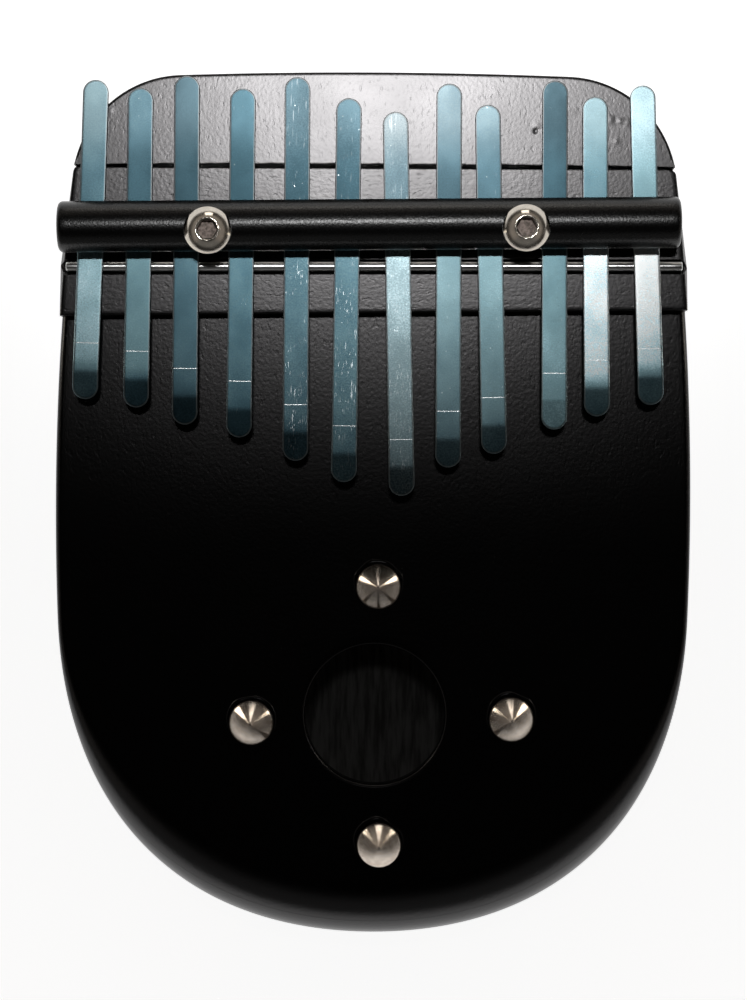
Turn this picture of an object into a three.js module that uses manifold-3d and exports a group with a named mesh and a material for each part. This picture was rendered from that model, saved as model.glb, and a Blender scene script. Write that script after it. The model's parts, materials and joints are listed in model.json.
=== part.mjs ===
// Kalimba with a hollow painted wooden body and twelve spring-steel tines under a round pressure bar.
// Millimetres. The origin lies on the flat back, under the middle of the body.
// +X is the player's right, +Y runs from the sound hole to the bar, +Z points out of the soundboard.
import * as THREE from 'three';
import { mergeVertices } from 'three/addons/utils/BufferGeometryUtils.js';
import Module from 'manifold-3d';

const { degToRad, lerp, smoothstep } = THREE.MathUtils;

// Body: overall size and the layers it is glued up from
const bodyLength = 198.4;
const bodyWidth = 145.8;
const backThickness = 5;
const frameHeight = 22;
const soundboardThickness = 5;
const bridgeHeight = 4.5;
const wallThickness = 10;

// Outline seen from above: barrelled sides, round shoulders, a slightly domed rear, a round front end
const sideRadius = 665;
const shoulderRadius = 25.4;
const rearRadius = 1230;
const widestFromFront = 100.7;
const roundEndLength = 73.7;
const roundEndSideHandle = 52;
const roundEndFrontHandle = 39.4;

// Edges: crisp round the head, eased along the sides, a big soft round at the front end
const headEdgeRadius = 0.6;
const sideEdgeRadius = 1.5;
const frontEdgeRadius = 13;
const backEdgeRadius = 2;
const edgeRunOut = 5;
const frameEdgeBand = 2;

// Cavity and sound hole
const cavityRearFromRear = 61;
const cavityCorner = 9;
const soundHoleRadius = 16;
const soundHoleEase = 0.8;
const soundHoleX = 0.6;
const soundHoleFromFront = 51.8;

// Head strip and bridge block, level with each other and parted by a narrow gap
const seamFromRear = 21.5;
const seamGap = 0.9;
const blockFrontFromRear = 54.85;
const blockFrontYaw = degToRad(0.74);
const blockRearArris = 0.5;
const blockFrontArris = 0.4;

// Bridge rod in its groove across the block
const rodDiameter = 2.3;
const rodEndInset = 2.8;
const rodFromRear = 44.25;
const rodYaw = degToRad(0.27);
const rodProud = 0.8;
const rodEndEase = 0.3;

// Tines: flat blanks in three lengths, swept up over the rod and bent down at the tip
const tineWidth = 5.8;
const tineThickness = 1;
const tineSweepLength = 24;
const tipLength = 7.1;
const tipBendRadius = 8;
const tipBendAngle = degToRad(10);
const shortBlank = 72.6;
const mediumBlank = 79.3;
const longBlank = 87.2;

// Each tine, left to right: its place as a share of half the body's width, its lean in degrees,
// its blank, and the share of the blank that is free in front of the rod
const tines = [
  { place: -0.8848, lean: -1.6, blank: shortBlank, ahead: 0.4174 },
  { place: -0.7339, lean: -0.4, blank: shortBlank, ahead: 0.4435 },
  { place: -0.5857, lean: 0, blank: mediumBlank, ahead: 0.4552 },
  { place: -0.4143, lean: -0.3, blank: mediumBlank, ahead: 0.4918 },
  { place: -0.2414, lean: 0, blank: longBlank, ahead: 0.5080 },
  { place: -0.0850, lean: -0.5, blank: longBlank, ahead: 0.5631 },
  { place: 0.0741, lean: 1.2, blank: longBlank, ahead: 0.5986 },
  { place: 0.2318, lean: 0, blank: longBlank, ahead: 0.5252 },
  { place: 0.3621, lean: 1.2, blank: mediumBlank, ahead: 0.5385 },
  { place: 0.5610, lean: -0.1, blank: mediumBlank, ahead: 0.4691 },
  { place: 0.6900, lean: 0.4, blank: shortBlank, ahead: 0.4711 },
  { place: 0.8491, lean: 1.6, blank: shortBlank, ahead: 0.4353 },
];

// Pressure bar
const barDiameter = 11.5;
const barEndInset = 3.1;
const barX = -1.15;
const barFromRear = 35.55;
const barYaw = degToRad(0.69);
const barEndEase = 1.6;

// Button-head screws through the bar and the threaded inserts that hold them
const screwDiameter = 5;
const screwHeadDiameter = 10.5;
const screwHeadHeight = 3.3;
const screwHeadRim = 0.6;
const screwCrownAngle = degToRad(56);
const screwPointEase = 0.8;
const socketAcrossFlats = 4;
const socketDepth = 2.1;
const socketChamfer = 0.45;
const screwOffset = -1.5;
const screwPastInsert = 1.5;
const spotFaceDiameter = 11;
const spotFaceDepth = 1.6;
const insertDiameter = 8;
const insertLength = 12;

// Each screw's place as a share of half the body's width
const screws = [
  { name: 'left', place: -0.5096 },
  { name: 'right', place: 0.4643 },
];

// Cone studs round the sound hole, placed from the hole's centre
const studDiameter = 10.4;
const studRimRadius = 1.3;
const studUndercut = degToRad(20);
const studSlope = degToRad(44);
const studTipRadius = 0.35;
const studTipCrown = 0.12;
const studPinDiameter = 3;
const studPinLength = 4;
const studs = [
  { name: 'rear', x: 0.7, y: 29.3 },
  { name: 'left', x: -28.3, y: -2 },
  { name: 'right', x: 31.3, y: -1 },
  { name: 'front', x: 1.1, y: -29.9 },
];

// Clearances: between pieces that seat on each other, and how far a cutter passes a face
const seatGap = 0.3;
const overcut = 2;

// Facets
const barSides = 36;
const rodSides = 16;
const screwSides = 24;
const studSides = 28;
const soundHoleSides = 40;

// Heights and places that follow from the sizes above
const halfWidth = bodyWidth / 2;
const rodLength = bodyWidth - 2 * rodEndInset;
const barLength = bodyWidth - 2 * barEndInset;
const rearY = bodyLength / 2;
const frontY = -bodyLength / 2;
const frameBottom = backThickness;
const frameTop = frameBottom + frameHeight;
const soundboardTop = frameTop + soundboardThickness;
const bridgeTop = soundboardTop + bridgeHeight;
const seamY = rearY - seamFromRear;
const blockFrontY = rearY - blockFrontFromRear;
const rodY = rearY - rodFromRear;
const barY = rearY - barFromRear;
const roundEndY = frontY + roundEndLength;
const cavityRearY = rearY - cavityRearFromRear;
const soundHoleY = frontY + soundHoleFromFront;
const screwPlaces = screws.map(({ name, place }) => {
  const x = place * halfWidth;
  return { name, x, y: barY + (x - barX) * Math.tan(barYaw) + screwOffset };
});
const tineRise = rodProud;
const tineSlope = (2 * tineRise) / tineSweepLength;
const barAxisZ = bridgeTop + tineUnderside(rodY - barY) + tineThickness + seatGap + barDiameter / 2;
const spotFaceZ = barAxisZ + barDiameter / 2 - spotFaceDepth;
const screwSeatZ = spotFaceZ + seatGap;
const insertBottom = frameTop - seatGap - insertLength;
const screwLength = screwSeatZ - insertBottom + screwPastInsert;

const wasm = await Module();
wasm.setup();

// Solids: joining and cutting

function toSolid(geometry) {
  const bare = geometry.clone();
  bare.deleteAttribute('normal');
  bare.deleteAttribute('uv');
  const merged = mergeVertices(bare);
  const corners = Array.from(merged.index.array);
  const triangles = [];
  for (let i = 0; i < corners.length; i += 3) {
    const [a, b, c] = corners.slice(i, i + 3);
    if (a !== b && b !== c && c !== a) triangles.push(a, b, c);
  }
  const mesh = new wasm.Mesh({
    numProp: 3,
    vertProperties: merged.attributes.position.array,
    triVerts: Uint32Array.from(triangles),
  });
  return new wasm.Manifold(mesh);
}

function toGeometry(solid) {
  const mesh = solid.getMesh();
  const geometry = new THREE.BufferGeometry();
  geometry.setAttribute('position', new THREE.BufferAttribute(mesh.vertProperties, 3));
  geometry.setIndex(new THREE.BufferAttribute(mesh.triVerts, 1));
  geometry.computeVertexNormals();
  return geometry;
}

function subtract(geometry, cutters) {
  const cut = (solid, cutter) => solid.subtract(toSolid(cutter));
  return toGeometry(cutters.reduce(cut, toSolid(geometry)));
}

function intersect(geometry, other) {
  return toGeometry(toSolid(geometry).intersect(toSolid(other)));
}

// A closed body through equal loops of points, each anticlockwise seen from the last loop's side.
function loft(loops) {
  const count = loops[0].length;
  const points = loops.flat();
  const index = [];
  for (let row = 0; row + 1 < loops.length; row += 1) {
    for (let i = 0; i < count; i += 1) {
      const a = row * count + i;
      const b = row * count + ((i + 1) % count);
      index.push(a, b, b + count, a, b + count, a + count);
    }
  }
  const middle = (loop) => loop.reduce((sum, p) => sum.add(p), new THREE.Vector3()).divideScalar(count);
  const lastRow = (loops.length - 1) * count;
  const firstMiddle = points.push(middle(loops[0])) - 1;
  const lastMiddle = points.push(middle(loops[loops.length - 1])) - 1;
  for (let i = 0; i < count; i += 1) {
    const next = (i + 1) % count;
    index.push(firstMiddle, next, i, lastMiddle, lastRow + i, lastRow + next);
  }
  const geometry = new THREE.BufferGeometry().setFromPoints(points);
  geometry.setIndex(index);
  geometry.computeVertexNormals();
  return geometry;
}

// A body of revolution about Z from [radius, height] pairs, running upwards from axis to axis.
function turned(profile, sides) {
  const points = profile.map(([radius, height]) => new THREE.Vector2(radius, height));
  return new THREE.LatheGeometry(points, sides).rotateX(Math.PI / 2);
}

function cylinder(radius, bottom, top, sides) {
  return turned([[0, bottom], [radius, bottom], [radius, top], [0, top]], sides);
}

// A round bar along X with rounded end corners.
function roundBar(diameter, length, ease, sides) {
  const radius = diameter / 2;
  const half = length / 2;
  const steps = 4;
  const corner = [];
  for (let i = 0; i <= steps; i += 1) {
    const angle = (i / steps) * (Math.PI / 2);
    corner.push([radius - ease + ease * Math.cos(angle), half - ease + ease * Math.sin(angle)]);
  }
  const lower = corner.map(([r, z]) => [r, -z]).reverse();
  return turned([[0, -half], ...lower, ...corner, [0, half]], sides).rotateY(Math.PI / 2);
}

// Body outline

// Anticlockwise points with outward normals, starting at the middle of the front end.
function bodyOutline() {
  const side = new THREE.Vector2(halfWidth - sideRadius, frontY + widestFromFront);
  const rear = new THREE.Vector2(0, rearY - rearRadius);

  // The shoulder's centre lies where the side and rear arcs, both drawn in by its radius, cross.
  const sideReach = sideRadius - shoulderRadius;
  const rearReach = rearRadius - shoulderRadius;
  const apart = rear.clone().sub(side);
  const along = (sideReach ** 2 - rearReach ** 2 + apart.lengthSq()) / (2 * apart.length());
  const across = Math.sqrt(sideReach ** 2 - along ** 2);
  const unit = apart.clone().normalize();
  const shoulder = side.clone().addScaledVector(unit, along);
  shoulder.addScaledVector(new THREE.Vector2(-unit.y, unit.x), across);

  const bearing = (from, to) => Math.atan2(to.y - from.y, to.x - from.x);
  const endAngle = Math.asin((roundEndY - side.y) / sideRadius);
  const shoulderStart = bearing(side, shoulder);
  const shoulderEnd = bearing(rear, shoulder);
  const endX = side.x + sideRadius * Math.cos(endAngle);
  const handleX = endX + roundEndSideHandle * Math.sin(endAngle);
  const handleY = roundEndY - roundEndSideHandle * Math.cos(endAngle);

  const half = new THREE.Path();
  half.moveTo(0, frontY);
  half.bezierCurveTo(roundEndFrontHandle, frontY, handleX, handleY, endX, roundEndY);
  half.absarc(side.x, side.y, sideRadius, endAngle, shoulderStart, false);
  half.absarc(shoulder.x, shoulder.y, shoulderRadius, shoulderStart, shoulderEnd, false);
  half.absarc(rear.x, rear.y, rearRadius, shoulderEnd, Math.PI / 2, false);

  const pointsPerCurve = [20, 10, 9, 5];
  const curves = half.curves.filter((curve) => !curve.isLineCurve);
  const right = curves.flatMap((curve, i) => curve.getPoints(pointsPerCurve[i]).slice(0, -1));
  const left = right.slice(1).reverse().map((p) => new THREE.Vector2(-p.x, p.y));
  const loop = [...right, new THREE.Vector2(0, rearY), ...left];

  return loop.map((p, i) => {
    const before = loop[(i + loop.length - 1) % loop.length];
    const after = loop[(i + 1) % loop.length];
    const tangent = after.clone().sub(before).normalize();
    return { x: p.x, y: p.y, normalX: tangent.y, normalY: -tangent.x };
  });
}

const outline = bodyOutline();

// The outline drawn in by an inset and lifted to a height, both given for each of its points.
function ring(insetAt, heightAt) {
  return outline.map((p) => {
    const inset = insetAt(p);
    return new THREE.Vector3(p.x - p.normalX * inset, p.y - p.normalY * inset, heightAt(p));
  });
}

// Radius of the body's upper edge: crisp under the bridge block, growing round the front end.
function upperEdgeRadius(p) {
  const front = smoothstep(roundEndY - p.y, 0, roundEndLength);
  const head = smoothstep(p.y, blockFrontY, blockFrontY + edgeRunOut);
  return lerp(lerp(sideEdgeRadius, frontEdgeRadius, front), headEdgeRadius, head);
}

function upperEdgeInset(p, height) {
  const radius = upperEdgeRadius(p);
  const rise = Math.max(0, height - (soundboardTop - radius));
  return radius - Math.sqrt(Math.max(0, radius ** 2 - rise ** 2));
}

// Body layers

function backBoard() {
  const steps = 3;
  const loops = [];
  for (let i = 0; i <= steps; i += 1) {
    const angle = (i / steps) * (Math.PI / 2);
    const inset = backEdgeRadius * (1 - Math.sin(angle));
    const height = backEdgeRadius * (1 - Math.cos(angle));
    loops.push(ring(() => inset, () => height));
  }
  loops.push(ring(() => 0, () => backThickness));
  return loft(loops);
}

// The space inside: the outline drawn in by the wall, closed off in front of the solid head.
function cavity() {
  const inner = ring(() => wallThickness, () => 0);
  const side = inner.filter((p) => p.x > 0 && p.y < cavityRearY - cavityCorner);
  const last = side[side.length - 1];
  const shape = new THREE.Shape();
  shape.moveTo(inner[0].x, inner[0].y);
  side.forEach((p) => shape.lineTo(p.x, p.y));
  shape.quadraticCurveTo(last.x, cavityRearY, last.x - cavityCorner, cavityRearY);
  shape.lineTo(cavityCorner - last.x, cavityRearY);
  shape.quadraticCurveTo(-last.x, cavityRearY, -last.x, last.y);
  side.slice(0, -1).reverse().forEach((p) => shape.lineTo(-p.x, p.y));
  const depth = frameHeight + 2 * overcut;
  const geometry = new THREE.ExtrudeGeometry(shape, { depth, bevelEnabled: false, curveSegments: 6 });
  return geometry.translate(0, 0, frameBottom - overcut);
}

function sideFrame() {
  const steps = 4;
  const loops = [ring(() => 0, () => frameBottom)];
  for (let i = 0; i <= steps; i += 1) {
    const heightAt = (p) => {
      const start = Math.min(soundboardTop - upperEdgeRadius(p), frameTop - frameEdgeBand);
      return lerp(start, frameTop, i / steps);
    };
    loops.push(ring((p) => upperEdgeInset(p, heightAt(p)), heightAt));
  }
  const cutters = [cavity()];
  screwPlaces.forEach(({ x, y }) => {
    const pocketRadius = insertDiameter / 2 + seatGap;
    const boreRadius = screwDiameter / 2 + seatGap;
    const pocket = cylinder(pocketRadius, insertBottom - seatGap, frameTop + overcut, screwSides);
    const boreBottom = insertBottom - screwPastInsert - seatGap;
    const bore = cylinder(boreRadius, boreBottom, insertBottom, screwSides);
    cutters.push(pocket.translate(x, y, 0), bore.translate(x, y, 0));
  });
  return subtract(loft(loops), cutters);
}

function soundHole() {
  const steps = 4;
  const profile = [[0, frameTop - overcut], [soundHoleRadius, frameTop - overcut]];
  for (let i = 0; i <= steps; i += 1) {
    const angle = (i / steps) * (Math.PI / 2);
    const radius = soundHoleRadius + soundHoleEase * (1 - Math.cos(angle));
    profile.push([radius, soundboardTop - soundHoleEase * (1 - Math.sin(angle))]);
  }
  const rim = soundHoleRadius + soundHoleEase;
  profile.push([rim, soundboardTop + overcut], [0, soundboardTop + overcut]);
  return turned(profile, soundHoleSides).translate(soundHoleX, soundHoleY, 0);
}

function soundboard() {
  const steps = 5;
  const loops = [ring((p) => upperEdgeInset(p, frameTop), () => frameTop)];
  for (let i = 1; i <= steps; i += 1) {
    const heightAt = (p) => {
      const radius = upperEdgeRadius(p);
      const low = Math.max(0, frameTop - (soundboardTop - radius));
      const angle = lerp(Math.asin(low / radius), Math.PI / 2, i / steps);
      return soundboardTop - radius * (1 - Math.sin(angle));
    };
    loops.push(ring((p) => upperEdgeInset(p, heightAt(p)), heightAt));
  }
  const through = (radius, sides) => cylinder(radius, frameTop - overcut, soundboardTop + overcut, sides);
  const cutters = [soundHole()];
  studs.forEach(({ x, y }) => {
    const hole = through(studPinDiameter / 2 + seatGap, rodSides);
    cutters.push(hole.translate(soundHoleX + x, soundHoleY + y, 0));
  });
  screwPlaces.forEach(({ x, y }) => {
    cutters.push(through(screwDiameter / 2 + seatGap, screwSides).translate(x, y, 0));
  });
  return subtract(loft(loops), cutters);
}

// Head strip and bridge block: one flush plate of the head, eased at its rim, cut across by profiles.
function headPlate() {
  return loft([
    ring(() => 0, () => soundboardTop),
    ring(() => 0, () => bridgeTop - headEdgeRadius),
    ring(() => headEdgeRadius * (1 - Math.SQRT1_2), () => bridgeTop - headEdgeRadius * (1 - Math.SQRT1_2)),
    ring(() => headEdgeRadius, () => bridgeTop),
  ]);
}

// A bar along X that cuts a plate to the stretch between two edges, with rounded upper arrises.
// Each end of the bar has its own front edge, so the front may run out of square.
function crossCut(frontLeft, frontRight, rear, frontArris, rearArris) {
  const steps = 3;
  const endLoop = (x, front) => {
    const loop = [new THREE.Vector3(x, front, soundboardTop - overcut)];
    loop.push(new THREE.Vector3(x, rear, soundboardTop - overcut));
    for (let i = 0; i <= steps; i += 1) {
      const angle = (i / steps) * (Math.PI / 2);
      const y = rear - rearArris * (1 - Math.cos(angle));
      loop.push(new THREE.Vector3(x, y, bridgeTop - rearArris * (1 - Math.sin(angle))));
    }
    for (let i = steps; i >= 0; i -= 1) {
      const angle = (i / steps) * (Math.PI / 2);
      const y = front + frontArris * (1 - Math.cos(angle));
      loop.push(new THREE.Vector3(x, y, bridgeTop - frontArris * (1 - Math.sin(angle))));
    }
    return loop;
  };
  return loft([endLoop(-bodyWidth, frontLeft), endLoop(bodyWidth, frontRight)]);
}

function headStrip() {
  const front = seamY + seamGap / 2;
  return intersect(headPlate(), crossCut(front, front, rearY + overcut, blockRearArris, blockRearArris));
}

function bridgeBlock() {
  const skew = bodyWidth * Math.tan(blockFrontYaw);
  const rear = seamY - seamGap / 2;
  const band = crossCut(blockFrontY - skew, blockFrontY + skew, rear, blockFrontArris, blockRearArris);
  const groove = roundBar(rodDiameter + 2 * seatGap, bodyWidth + 2 * overcut, rodEndEase, rodSides);
  groove.rotateZ(rodYaw).translate(0, rodY, rodAxisZ());
  const cutters = [groove];
  screwPlaces.forEach(({ x, y }) => {
    const radius = screwDiameter / 2 + seatGap;
    const hole = cylinder(radius, soundboardTop - overcut, bridgeTop + overcut, screwSides);
    cutters.push(hole.translate(x, y, 0));
  });
  return subtract(intersect(headPlate(), band), cutters);
}

function rodAxisZ() {
  return bridgeTop + rodProud - rodDiameter / 2;
}

// Tines

// Height of a tine's underside above the block, at a distance in front of the rod.
function tineUnderside(distance) {
  const swept = Math.min(0, Math.max(-tineSweepLength, distance)) + tineSweepLength;
  const sweep = tineRise * (swept / tineSweepLength) ** 2;
  return seatGap + sweep + tineSlope * Math.max(0, distance);
}

// How far the bent tip drops below the straight tine, at a distance past the start of the bend.
function tipDrop(distance) {
  const bendLength = tipBendRadius * tipBendAngle;
  const bent = Math.min(Math.max(0, distance), bendLength);
  return bent ** 2 / (2 * tipBendRadius) + tipBendAngle * Math.max(0, distance - bendLength);
}

// A tine from its tip to its tail, its origin on the block's top face under the rod crossing.
function tine(free, blank) {
  const half = tineWidth / 2;
  const bendStart = free - tipLength;
  const bendLength = tipBendRadius * tipBendAngle;
  const tail = free - blank;
  const endAngles = [86, 72, 52, 28, 0].map(degToRad);
  const tipEnd = endAngles.map((angle) => free - half * (1 - Math.sin(angle)));
  const tailEnd = endAngles.map((angle) => tail + half * (1 - Math.sin(angle))).reverse();
  const bend = [bendStart + bendLength, bendStart + bendLength / 2, bendStart];
  const sweepSteps = 8;
  const sweep = [];
  for (let i = 0; i <= sweepSteps; i += 1) {
    sweep.push((-i / sweepSteps) * Math.min(tineSweepLength, -tail - tineWidth));
  }
  const stations = [...tipEnd, ...bend, bendStart / 2, ...sweep, ...tailEnd];
  const loops = stations.map((distance) => {
    const fromEnd = Math.min(free - distance, distance - tail);
    const inEnd = Math.max(0, half - fromEnd);
    const w = Math.sqrt(half ** 2 - inEnd ** 2);
    const low = tineUnderside(distance) - tipDrop(distance - bendStart);
    const high = low + tineThickness;
    return [[-w, low], [-w, high], [w, high], [w, low]].map(([x, z]) => new THREE.Vector3(x, -distance, z));
  });
  return loft(loops);
}

// Bar and screws

// A place on the body as the turned bar sees it.
function fromBar(x, y) {
  return new THREE.Vector2(x - barX, y - barY).rotateAround(new THREE.Vector2(), -barYaw);
}

function pressureBar() {
  const cutters = screwPlaces.flatMap(({ x, y }) => {
    const place = fromBar(x, y);
    const hole = cylinder(screwDiameter / 2 + seatGap, -barDiameter, barDiameter, screwSides);
    const face = cylinder(spotFaceDiameter / 2, spotFaceZ - barAxisZ, barDiameter, screwSides);
    return [hole.translate(place.x, place.y, 0), face.translate(place.x, place.y, 0)];
  });
  return subtract(roundBar(barDiameter, barLength, barEndEase, barSides), cutters);
}

// A button-head screw standing on the underside of its head, with a chamfered hexagon socket.
function barScrew() {
  const radius = screwDiameter / 2;
  const profile = [
    [0, -screwLength],
    [radius - screwPointEase, -screwLength],
    [radius, screwPointEase - screwLength],
    [radius, 0],
    [screwHeadDiameter / 2, 0],
  ];
  const steps = 7;
  for (let i = 0; i <= steps; i += 1) {
    const angle = (i / steps) * screwCrownAngle;
    const crown = Math.sin(angle) / Math.sin(screwCrownAngle);
    const height = lerp(screwHeadRim, screwHeadHeight, crown);
    profile.push([(screwHeadDiameter / 2) * Math.cos(angle), height]);
  }
  profile.push([0, screwHeadHeight]);
  const socketRadius = socketAcrossFlats / Math.sqrt(3);
  const socket = cylinder(socketRadius, screwHeadHeight - socketDepth, screwHeadHeight + overcut, 6);
  const mouth = turned(
    [
      [0, screwHeadHeight - 2 * socketChamfer],
      [socketRadius - socketChamfer, screwHeadHeight - 2 * socketChamfer],
      [socketRadius + socketChamfer, screwHeadHeight],
      [socketRadius + socketChamfer, screwHeadHeight + overcut],
      [0, screwHeadHeight + overcut],
    ],
    screwSides,
  );
  return subtract(turned(profile, screwSides), [socket, mouth]);
}

// A plain sleeve stands for the threaded insert.
function threadedInsert() {
  const bore = cylinder(screwDiameter / 2 + seatGap, -overcut, insertLength + overcut, screwSides);
  return subtract(cylinder(insertDiameter / 2, 0, insertLength, screwSides), [bore]);
}

// A polished cone that runs into a rolled rim, with a blunted point and a pin for its hole in the soundboard.
function stud() {
  const radius = studDiameter / 2;
  const profile = [
    [0, -studPinLength],
    [studPinDiameter / 2, -studPinLength],
    [studPinDiameter / 2, 0],
  ];
  const steps = 5;
  for (let i = 0; i <= steps; i += 1) {
    const angle = lerp(-studUndercut, Math.PI / 2 - studSlope, i / steps);
    const height = studRimRadius * (Math.sin(angle) + Math.sin(studUndercut));
    profile.push([radius - studRimRadius * (1 - Math.cos(angle)), height]);
  }
  const [rimTopRadius, rimTop] = profile[profile.length - 1];
  const coneTop = rimTop + (rimTopRadius - studTipRadius) * Math.tan(studSlope);
  profile.push([studTipRadius, coneTop], [0, coneTop + studTipCrown]);
  return turned(profile, studSides);
}

// Finishes
const finishes = {
  blackPaint: { color: 0x0b0b0c, roughness: 0.45, metalness: 0 },
  blackSteel: { color: 0x101112, roughness: 0.4, metalness: 0.6 },
  chrome: { color: 0xd8dadc, roughness: 0.12, metalness: 1 },
  stainless: { color: 0xb9b6b0, roughness: 0.22, metalness: 1 },
  nickel: { color: 0xc9c4bd, roughness: 0.18, metalness: 1 },
  blueSteel: { color: 0x6d9fae, roughness: 0.3, metalness: 0.9 },
  brass: { color: 0xb08d3c, roughness: 0.35, metalness: 1 },
};

function piece(name, geometry, finish, x = 0, y = 0, z = 0, turn = 0) {
  const mesh = new THREE.Mesh(geometry, new THREE.MeshStandardMaterial(finishes[finish]));
  mesh.name = name;
  mesh.position.set(x, y, z);
  mesh.rotation.z = turn;
  return mesh;
}

// Assembly
const body = new THREE.Group();
body.add(piece('back_board', backBoard(), 'blackPaint'));
body.add(piece('side_frame', sideFrame(), 'blackPaint'));
body.add(piece('soundboard', soundboard(), 'blackPaint'));
body.add(piece('head_strip', headStrip(), 'blackPaint'));
body.add(piece('bridge_block', bridgeBlock(), 'blackPaint'));

const bridge = new THREE.Group();
const rod = roundBar(rodDiameter, rodLength, rodEndEase, rodSides);
bridge.add(piece('bridge_rod', rod, 'chrome', 0, rodY, rodAxisZ(), rodYaw));
bridge.add(piece('pressure_bar', pressureBar(), 'blackSteel', barX, barY, barAxisZ, barYaw));
screwPlaces.forEach(({ name, x, y }) => {
  bridge.add(piece(`bar_screw_${name}`, barScrew(), 'stainless', x, y, screwSeatZ));
  bridge.add(piece(`threaded_insert_${name}`, threadedInsert(), 'brass', x, y, insertBottom));
});

const keys = new THREE.Group();
tines.forEach(({ place, lean, blank, ahead }, i) => {
  const name = `tine_${String(i + 1).padStart(2, '0')}`;
  const x = place * halfWidth;
  const y = rodY + x * Math.tan(rodYaw);
  keys.add(piece(name, tine(ahead * blank, blank), 'blueSteel', x, y, bridgeTop, degToRad(lean)));
});

const trim = new THREE.Group();
studs.forEach(({ name, x, y }) => {
  trim.add(piece(`stud_${name}`, stud(), 'nickel', soundHoleX + x, soundHoleY + y, soundboardTop));
});

const kalimba = new THREE.Group();
kalimba.add(body, bridge, keys, trim);

export default kalimba;
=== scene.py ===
import json

import bmesh
import bpy
import numpy as np
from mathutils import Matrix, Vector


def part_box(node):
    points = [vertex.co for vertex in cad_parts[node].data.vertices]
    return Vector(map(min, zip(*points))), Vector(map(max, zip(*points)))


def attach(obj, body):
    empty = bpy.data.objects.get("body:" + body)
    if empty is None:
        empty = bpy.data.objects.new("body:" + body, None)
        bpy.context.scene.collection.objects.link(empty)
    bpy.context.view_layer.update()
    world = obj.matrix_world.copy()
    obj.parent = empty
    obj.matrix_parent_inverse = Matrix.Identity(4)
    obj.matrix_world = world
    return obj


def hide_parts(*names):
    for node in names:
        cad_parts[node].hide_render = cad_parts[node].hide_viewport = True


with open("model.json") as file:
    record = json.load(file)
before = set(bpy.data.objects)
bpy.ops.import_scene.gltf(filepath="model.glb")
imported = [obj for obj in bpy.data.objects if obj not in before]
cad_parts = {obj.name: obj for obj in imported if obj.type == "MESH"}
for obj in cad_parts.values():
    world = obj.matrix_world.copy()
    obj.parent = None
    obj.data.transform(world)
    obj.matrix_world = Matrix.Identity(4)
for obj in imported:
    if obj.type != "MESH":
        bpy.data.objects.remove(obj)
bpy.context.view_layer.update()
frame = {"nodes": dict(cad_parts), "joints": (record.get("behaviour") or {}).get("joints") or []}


# Back board
# A board sawn to the body's outline, its lower edge eased with a router, which closes the sound chamber.
# Solid wood glued under the side frame and sprayed black; its inner face is bare, weathered wood.

mm = 0.001
back_low, back_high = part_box("back_board")
front_y, rear_y = back_low.y, back_high.y
half_width = back_high.x
side_radius = 665 * mm
shoulder_radius = 25.4 * mm
rear_radius = 1230 * mm
widest_y = front_y + 100.7 * mm
round_end_y = front_y + 73.7 * mm
round_end_side_handle = 52 * mm
round_end_front_handle = 39.4 * mm
front_points, side_points, shoulder_points, rear_points = 104, 64, 48, 32
back_edge_radius = 2 * mm
back_face_rows = 24
edge_rows = 7
glue_line_ease = 0.015 * mm
weld_distance = 0.002 * mm


def arc(centre, radius, start, end, count):
    """Points on a circle from one bearing up to another, and the outward directions there."""
    bearing = np.linspace(start, end, count, endpoint=False)
    outward = np.stack([np.cos(bearing), np.sin(bearing)], axis=1)
    return centre + radius * outward, outward


def body_outline():
    """The body from above, anticlockwise from the middle of its front: a cubic curve round the front, a long
    arc up the side, a tight arc at the shoulder and a flat arc across the rear, each running into the next
    without a corner, then the same mirrored. Gives the points and the outward directions."""
    side = np.array([half_width - side_radius, widest_y])
    rear = np.array([0.0, rear_y - rear_radius])
    side_reach = side_radius - shoulder_radius
    rear_reach = rear_radius - shoulder_radius
    span = np.linalg.norm(rear - side)
    unit = (rear - side) / span
    along = (side_reach**2 - rear_reach**2 + span**2) / (2 * span)
    across = np.sqrt(side_reach**2 - along**2)
    shoulder = side + unit * along + np.array([-unit[1], unit[0]]) * across
    end_bearing = np.arcsin((round_end_y - widest_y) / side_radius)
    shoulder_start = np.arctan2(*(shoulder - side)[::-1])
    shoulder_end = np.arctan2(*(shoulder - rear)[::-1])

    end = side + side_radius * np.array([np.cos(end_bearing), np.sin(end_bearing)])
    end_handle = end + round_end_side_handle * np.array([np.sin(end_bearing), -np.cos(end_bearing)])
    start = np.array([0.0, front_y])
    start_handle = np.array([round_end_front_handle, front_y])
    t = np.linspace(0, 1, front_points, endpoint=False)[:, None]
    left = 1 - t
    curve = left**3 * start + 3 * t * left**2 * start_handle + 3 * t**2 * left * end_handle + t**3 * end
    slope = left**2 * (start_handle - start) + 2 * t * left * (end_handle - start_handle)
    slope = slope + t**2 * (end - end_handle)
    sideways = np.stack([slope[:, 1], -slope[:, 0]], axis=1)
    front = curve, sideways / np.linalg.norm(sideways, axis=1, keepdims=True)

    flank = arc(side, side_radius, end_bearing, shoulder_start, side_points)
    corner = arc(shoulder, shoulder_radius, shoulder_start, shoulder_end, shoulder_points)
    back = arc(rear, rear_radius, shoulder_end, np.pi / 2, rear_points)
    middle = np.array([[0.0, rear_y]]), np.array([[0.0, 1.0]])
    mirror = np.array([-1.0, 1.0])
    loop = []
    for right, top in zip(zip(front, flank, corner, back), middle):
        half = np.concatenate(right)
        loop.append(np.concatenate([half, top, (half * mirror)[:0:-1]]))
    return loop


outline, outward = body_outline()


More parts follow.
